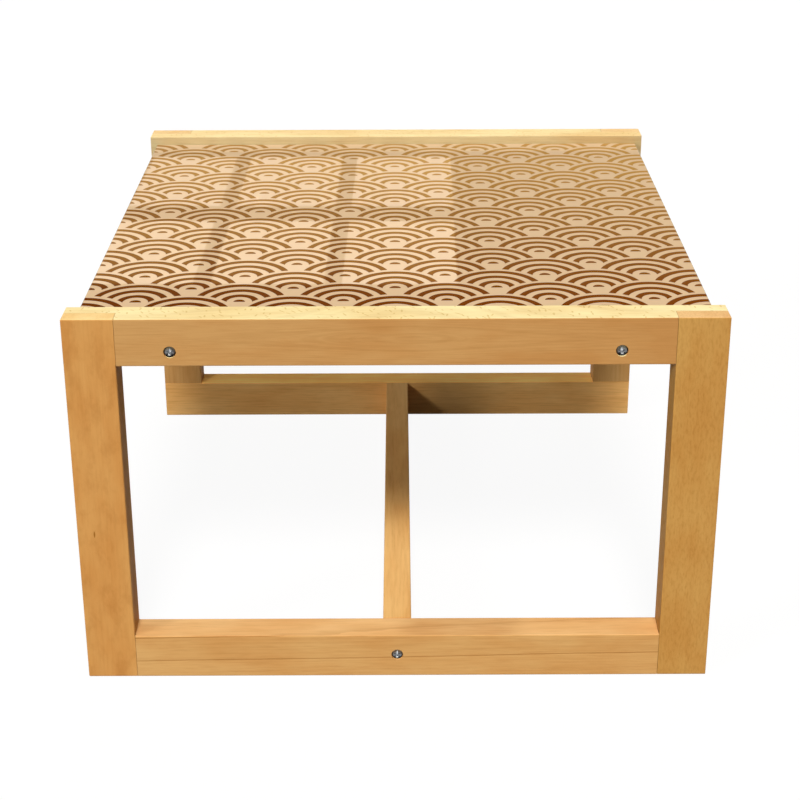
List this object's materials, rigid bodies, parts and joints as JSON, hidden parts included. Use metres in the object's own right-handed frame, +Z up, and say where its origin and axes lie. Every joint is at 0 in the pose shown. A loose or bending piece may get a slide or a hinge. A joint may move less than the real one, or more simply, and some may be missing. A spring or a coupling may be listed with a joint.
{
  "type": "sled coffee table",
  "caption": "Low beech sled table: two half-lapped end frames joined by aprons and a floor stretcher, with a glossy wave-printed panel set down between the top rails.",
  "frame": {"origin": "on the floor, under the middle of the table", "axes": "+Z up, +Y from the front end frame to the back one, +X to the right seen from the front"},
  "size_m": [0.61, 0.635, 0.381],
  "materials": {
    "beech": "oiled beech, satin",
    "dowel_beech": "raw beech",
    "zinc_steel": "bright zinc plate",
    "printed_panel": "high gloss over a brown and cream wave print",
    "clear_silicone": "clear, satin"
  },
  "bodies": {
    "root": {"front_left_leg": "beech", "front_right_leg": "beech", "front_top_rail": "beech", "front_floor_rail": "beech", "back_left_leg": "beech", "back_right_leg": "beech", "back_top_rail": "beech", "back_floor_rail": "beech", "left_apron": "beech", "right_apron": "beech", "stretcher": "beech", "top_panel": "printed_panel", "left_panel_pad_1": "clear_silicone", "left_panel_pad_2": "clear_silicone", "left_panel_pad_3": "clear_silicone", "right_panel_pad_1": "clear_silicone", "right_panel_pad_2": "clear_silicone", "right_panel_pad_3": "clear_silicone", "front_left_apron_screw": "zinc_steel", "front_right_apron_screw": "zinc_steel", "front_stretcher_screw": "zinc_steel", "back_left_apron_screw": "zinc_steel", "back_right_apron_screw": "zinc_steel", "back_stretcher_screw": "zinc_steel", "front_left_apron_left_dowel": "dowel_beech", "front_left_apron_right_dowel": "dowel_beech", "front_right_apron_left_dowel": "dowel_beech", "front_right_apron_right_dowel": "dowel_beech", "front_stretcher_upper_dowel": "dowel_beech", "front_stretcher_lower_dowel": "dowel_beech", "back_left_apron_left_dowel": "dowel_beech", "back_left_apron_right_dowel": "dowel_beech", "back_right_apron_left_dowel": "dowel_beech", "back_right_apron_right_dowel": "dowel_beech", "back_stretcher_upper_dowel": "dowel_beech", "back_stretcher_lower_dowel": "dowel_beech"}
  },
  "joints": []
}
